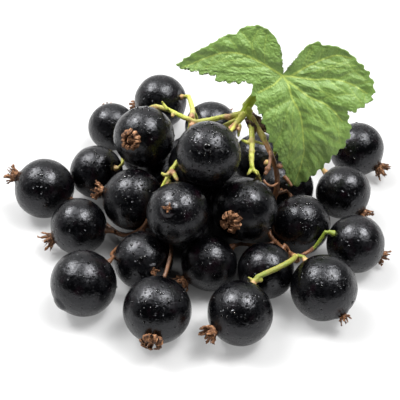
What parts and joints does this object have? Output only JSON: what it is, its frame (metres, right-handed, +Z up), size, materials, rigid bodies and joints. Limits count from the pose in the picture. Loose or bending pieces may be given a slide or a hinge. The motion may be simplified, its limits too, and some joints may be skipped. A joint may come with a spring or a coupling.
{
  "type": "blackcurrant sprig",
  "caption": "Sprig of ripe blackcurrants lying in a heap: a woody spur with one lobed leaf and several strings of glossy near-black berries on thin stalks.",
  "frame": {"origin": "on the surface the sprig lies on, under the middle of its bounding box", "axes": "+Z up, -Y towards the front of the heap, +X to the right, the side the leaf is on"},
  "size_m": [0.0802, 0.0794, 0.041],
  "materials": {
    "berry_skin": "smooth waxy fruit skin, glossy, near black with a purple tinge",
    "dry_flower": "dry, crumpled and matte",
    "green_stem": "fresh green stem, satin",
    "brown_stem": "browned stem, matte",
    "woody_spur": "rough bark and bud scales",
    "leaf_stalk": "yellow-green stalk, satin",
    "leaf": "fresh green leaf, satin, veined",
    "water": "clear drops of water on the skin"
  },
  "bodies": {
    "root": {"berry_01": "berry_skin", "berry_02": "berry_skin", "berry_03": "berry_skin", "berry_04": "berry_skin", "berry_05": "berry_skin", "berry_06": "berry_skin", "berry_07": "berry_skin", "berry_08": "berry_skin", "berry_09": "berry_skin", "berry_10": "berry_skin", "berry_11": "berry_skin", "berry_12": "berry_skin", "berry_13": "berry_skin", "berry_14": "berry_skin", "berry_15": "berry_skin", "berry_16": "berry_skin", "berry_17": "berry_skin", "berry_18": "berry_skin", "berry_19": "berry_skin", "berry_20": "berry_skin", "berry_21": "berry_skin", "berry_22": "berry_skin", "berry_23": "berry_skin", "berry_24": "berry_skin", "berry_25": "berry_skin", "berry_26": "berry_skin", "berry_27": "berry_skin", "berry_28": "berry_skin", "berry_29": "berry_skin", "berry_30": "berry_skin", "berry_31": "berry_skin", "flower_01": "dry_flower", "flower_02": "dry_flower", "flower_03": "dry_flower", "flower_04": "dry_flower", "flower_05": "dry_flower", "flower_06": "dry_flower", "flower_07": "dry_flower", "flower_09": "dry_flower", "flower_10": "dry_flower", "flower_11": "dry_flower", "flower_13": "dry_flower", "flower_14": "dry_flower", "flower_15": "dry_flower", "flower_16": "dry_flower", "flower_17": "dry_flower", "flower_19": "dry_flower", "flower_20": "dry_flower", "flower_21": "dry_flower", "flower_22": "dry_flower", "flower_23": "dry_flower", "strig_left": "green_stem", "strig_back": "green_stem", "strig_inner": "green_stem", "strig_middle": "green_stem", "strig_right": "green_stem", "strig_front": "brown_stem", "spur": "woody_spur", "leaf_stalk": "leaf_stalk", "leaf_blade": "leaf"}
  },
  "joints": []
}
